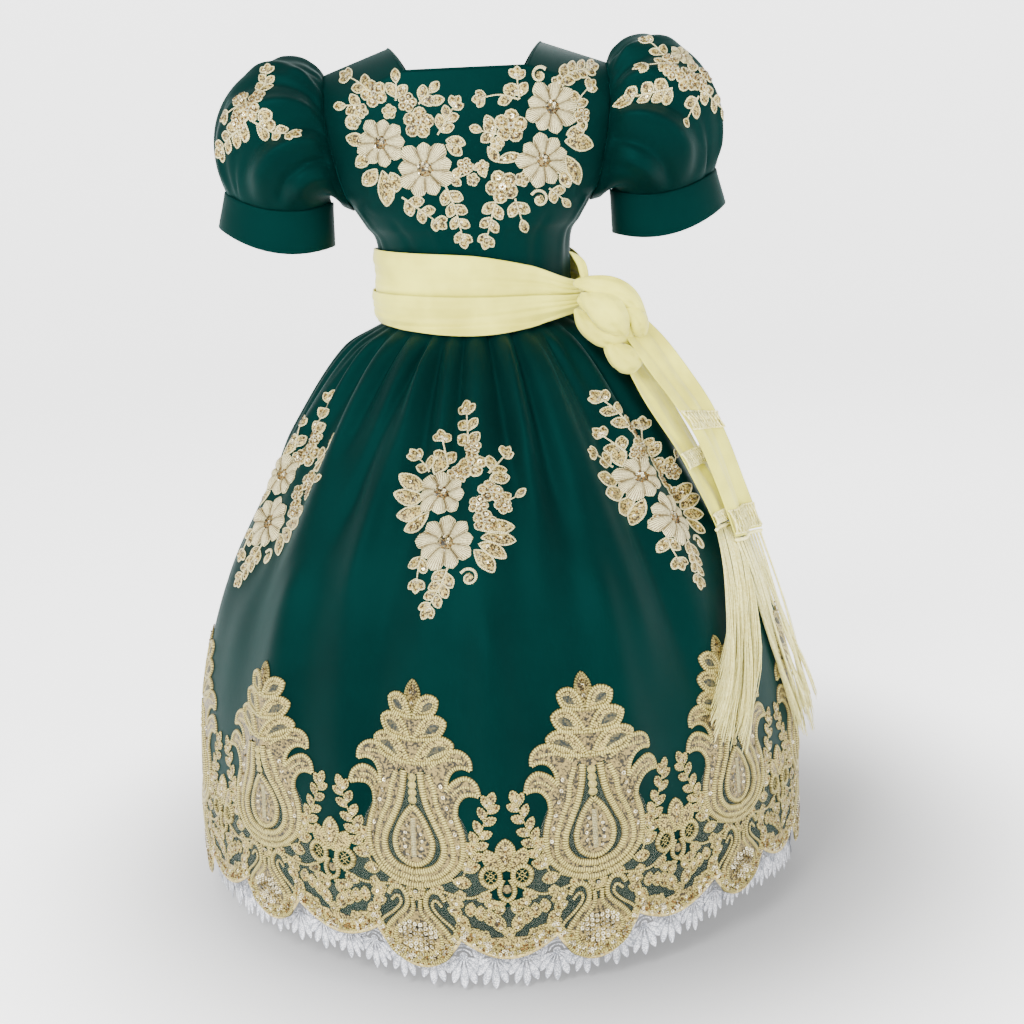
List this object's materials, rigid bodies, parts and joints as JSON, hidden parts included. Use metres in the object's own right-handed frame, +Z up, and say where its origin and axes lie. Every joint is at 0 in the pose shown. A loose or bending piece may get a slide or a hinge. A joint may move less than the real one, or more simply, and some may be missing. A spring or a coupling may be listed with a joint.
{
  "type": "china poblana dress for a girl, worn form",
  "caption": "Girl's china poblana dress, filled-out and hollow: satin bodice and puff sleeves, gathered skirt with gold appliques and lace, knotted fringed sash.",
  "frame": {"origin": "middle between the highest points of the two shoulder seams, where the wearer's shoulders hold the dress", "axes": "+Z up along the body, -Y out of the dress's front, +X to the wearer's left"},
  "size_m": [0.6718, 0.6562, 0.8664],
  "materials": {
    "satin_green": "soft sheen",
    "button_green": "satin covered",
    "applique_gold": "corded, sequined",
    "lace_gold": "embroidered on net",
    "lace_white": "guipure lace",
    "petticoat_white": "matt net and lining",
    "sash_cream": "soft woven, slight sheen",
    "fringe_cream": "silky fringe"
  },
  "bodies": {
    "root": {"bodice_front": "satin_green", "bodice_back_left": "satin_green", "bodice_back_right": "satin_green", "button_1": "button_green", "button_2": "button_green", "button_3": "button_green", "button_4": "button_green", "sleeve_left": "satin_green", "sleeve_right": "satin_green", "cuff_left": "satin_green", "cuff_right": "satin_green", "sleeve_spray_left": "applique_gold", "sleeve_spray_right": "applique_gold", "bodice_spray_left": "applique_gold", "bodice_spray_right": "applique_gold", "skirt_front": "satin_green", "skirt_back": "satin_green", "skirt_spray_1": "applique_gold", "skirt_spray_2": "applique_gold", "skirt_spray_3": "applique_gold", "skirt_spray_4": "applique_gold", "skirt_spray_5": "applique_gold", "skirt_spray_6": "applique_gold", "hem_border_front": "lace_gold", "hem_border_back": "lace_gold", "petticoat_front": "petticoat_white", "petticoat_back": "petticoat_white", "lace_hem_front": "lace_white", "lace_hem_back": "lace_white", "sash_wrap_upper": "sash_cream", "sash_wrap_lower": "sash_cream", "sash_knot": "sash_cream", "sash_tail_front": "sash_cream", "sash_tail_back": "sash_cream", "sash_fringe_front": "fringe_cream", "sash_fringe_back": "fringe_cream"}
  },
  "joints": []
}
